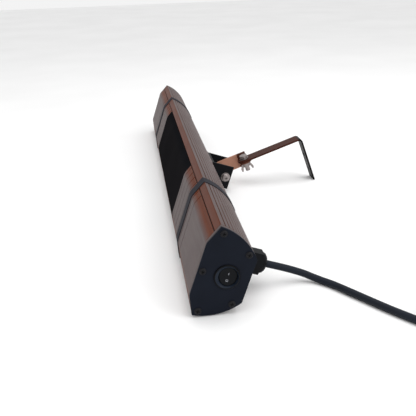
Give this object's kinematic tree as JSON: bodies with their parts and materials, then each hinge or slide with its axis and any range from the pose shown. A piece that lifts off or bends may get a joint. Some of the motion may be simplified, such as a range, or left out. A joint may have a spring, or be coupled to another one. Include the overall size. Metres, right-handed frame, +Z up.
{
  "type": "infrared strip heater",
  "caption": "Slim aluminium infrared heater bar with end caps, black radiant front, rocker switch, cable gland with mains cord and a tilting L-arm wall bracket.",
  "frame": {"origin": "on the surface it stands on, under the middle of its footprint, the cord left out", "axes": "+X along the bar towards the switch end, +Z up, -Y towards the radiant front, +Y towards the bracket"},
  "size_m": [0.9857, 0.3896, 0.1084],
  "materials": {
    "anodised_taupe": "satin anodised",
    "black_panel": "gloss, almost opaque",
    "cap_blue_black": "fine satin",
    "strap_grey": "matte",
    "black_screw": "black oxide",
    "ceramic": "unglazed ceramic",
    "polished_steel": "bright",
    "quartz": "clear",
    "filament_alloy": "oxidised",
    "zinc_steel": "zinc plated",
    "switch_black": "satin",
    "gland_black": "satin nylon",
    "bracket_black": "powder coat",
    "copper_link": "satin anodised",
    "arm_brown": "satin anodised",
    "cord_rubber": "matte",
    "tie_black": "satin",
    "plug_black": "matte",
    "nickel_pin": "bright nickel"
  },
  "bodies": {
    "heater": {"housing_extrusion": "anodised_taupe", "end_cap_switch": "cap_blue_black", "end_frame_switch": "anodised_taupe", "front_cover_switch": "anodised_taupe", "strap_switch": "strap_grey", "tube_cap_switch": "ceramic", "tube_holder_switch": "polished_steel", "cap_screw_switch_1": "black_screw", "cap_screw_switch_2": "black_screw", "cap_screw_switch_3": "black_screw", "cap_screw_switch_4": "black_screw", "cap_screw_switch_5": "black_screw", "end_cap_far": "cap_blue_black", "end_frame_far": "anodised_taupe", "front_cover_far": "anodised_taupe", "strap_far": "strap_grey", "tube_cap_far": "ceramic", "tube_holder_far": "polished_steel", "cap_screw_far_1": "black_screw", "cap_screw_far_2": "black_screw", "cap_screw_far_3": "black_screw", "cap_screw_far_4": "black_screw", "cap_screw_far_5": "black_screw", "front_panel": "black_panel", "reflector": "polished_steel", "heating_tube": "quartz", "filament": "filament_alloy", "terminal_block": "ceramic", "thermal_cutout": "zinc_steel", "switch_body": "switch_black", "gland_body": "gland_black", "gland_nut": "gland_black", "gland_lock_nut": "gland_black", "mounting_shoe": "anodised_taupe", "u_bracket": "bracket_black", "tilt_bolt": "zinc_steel", "tilt_washer": "zinc_steel", "tilt_spacer": "zinc_steel", "tilt_nut": "zinc_steel", "bracket_screw_1": "zinc_steel", "bracket_screw_2": "zinc_steel", "bracket_nut_1": "zinc_steel", "bracket_nut_2": "zinc_steel", "cord_tube": "cord_rubber", "cord_coil": "cord_rubber", "cord_tail": "cord_rubber", "coil_tie": "tie_black", "plug_body": "plug_black", "plug_pin_a": "nickel_pin", "plug_pin_b": "nickel_pin"},
    "switch_key": {"switch_rocker": "switch_black"},
    "link": {"tilt_link": "copper_link", "wing_bolt": "zinc_steel", "wing_washer": "zinc_steel"},
    "arm": {"wall_arm": "arm_brown"},
    "wing": {"wing_nut": "zinc_steel"}
  },
  "joints": [
    {"name": "switch_rock", "type": "hinge", "parent": "heater", "child": "switch_key", "pos_m": [0.42658, -0.09222, 0.04746], "axis": [0, 0.9444, -0.3289], "range_deg": [0, 16]},
    {"name": "tilt", "type": "hinge", "parent": "heater", "child": "link", "pos_m": [-0.02422, -0.03159, 0.02635], "axis": [1, 0, 0], "range_deg": [-105, 75]},
    {"name": "swivel", "type": "hinge", "parent": "link", "child": "arm", "pos_m": [-0.00872, 0.0091, 0.04337], "axis": [0, 0.3223, -0.9466], "range_deg": [0, 90]},
    {"name": "wing_spin", "type": "hinge", "parent": "link", "child": "wing", "pos_m": [-0.00872, 0.012, 0.03485], "axis": [0, 0.3223, -0.9466], "continuous": true}
  ]
}
